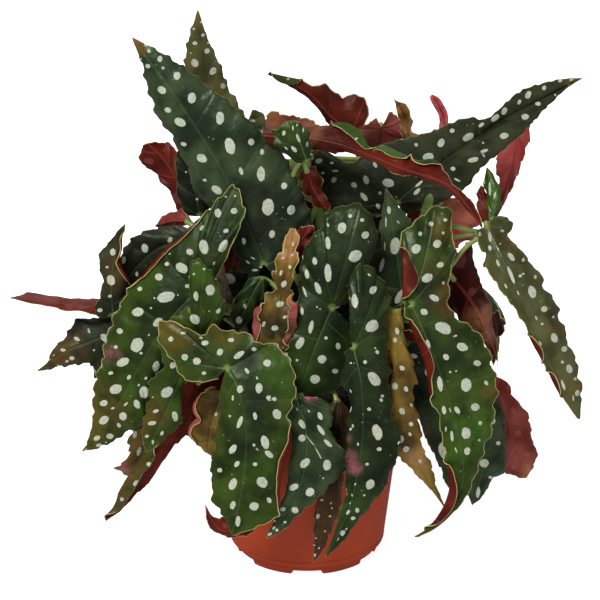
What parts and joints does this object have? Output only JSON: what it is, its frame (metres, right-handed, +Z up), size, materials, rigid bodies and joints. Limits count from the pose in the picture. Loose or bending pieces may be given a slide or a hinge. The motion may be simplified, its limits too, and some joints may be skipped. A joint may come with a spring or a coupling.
{
  "type": "potted begonia",
  "caption": "Bushy house plant with long pointed white-spotted leaves, crimson underneath, on woody canes in a round tapered nursery pot with a notched foot.",
  "frame": {"origin": "middle of the plant's bounding box at the underside of the pot's foot", "axes": "+Z up along the pot's axis, the front of the plant towards -Y"},
  "size_m": [0.336, 0.1832, 0.3257],
  "materials": {
    "pot": "terracotta-coloured moulded plastic, satin",
    "soil": "dark loose potting soil",
    "cane": "ringed woody cane and green leaf stalks",
    "leaf_dark": "dark green leaf with white spots",
    "leaf_green": "green leaf with white spots",
    "leaf_olive": "olive leaf with white spots",
    "leaf_golden": "golden brown leaf with pale spots",
    "leaf_red": "crimson leaf underside",
    "leaf_pink": "pink leaf underside"
  },
  "bodies": {
    "root": {"pot": "pot", "soil": "soil", "leaf_top_left": "leaf_dark", "leaf_top_upright": "leaf_olive", "leaf_top_small": "leaf_olive", "leaf_arching": "leaf_red", "leaf_red_wing": "leaf_red", "leaf_red_behind": "leaf_red", "leaf_orange_upright": "leaf_golden", "leaf_red_spike": "leaf_red", "leaf_top_right": "leaf_dark", "leaf_new_centre": "leaf_green", "leaf_red_strip": "leaf_red", "leaf_right_red": "leaf_red", "leaf_right_narrow": "leaf_green", "leaf_right_sliver": "leaf_red", "leaf_right_droop": "leaf_olive", "leaf_right_front": "leaf_green", "leaf_centre_back": "leaf_dark", "leaf_centre_front": "leaf_dark", "leaf_centre_long": "leaf_dark", "leaf_front_small": "leaf_dark", "leaf_front_left": "leaf_green", "leaf_left_big": "leaf_green", "leaf_left_green": "leaf_green", "leaf_left_long": "leaf_red", "leaf_golden_low": "leaf_golden", "leaf_red_curl_low": "leaf_red", "leaf_brown_low": "leaf_golden", "leaf_left_olive": "leaf_olive", "leaf_left_far": "leaf_pink", "leaf_left_upright": "leaf_olive", "leaf_left_dark": "leaf_dark", "leaf_left_pink": "leaf_pink", "leaf_left_red": "leaf_red", "leaf_left_strip": "leaf_dark", "leaf_golden_twisted": "leaf_golden", "leaf_red_centre": "leaf_red", "leaf_dark_small": "leaf_dark", "leaf_golden_hanging": "leaf_golden", "leaf_dark_low": "leaf_dark", "leaf_right_dark": "leaf_dark", "leaf_right_low_red": "leaf_red", "leaf_right_folded": "leaf_red", "leaf_centre_low": "leaf_dark", "leaf_pink_hanging": "leaf_pink", "leaf_back_1": "leaf_green", "leaf_back_2": "leaf_green", "leaf_back_3": "leaf_green", "leaf_back_4": "leaf_green", "leaf_back_5": "leaf_green", "leaf_back_6": "leaf_green", "leaf_back_7": "leaf_green", "leaf_back_8": "leaf_green", "leaf_back_9": "leaf_green", "leaf_back_10": "leaf_green", "cane_left": "cane", "cane_front": "cane", "cane_back": "cane", "cane_right": "cane"}
  },
  "joints": []
}
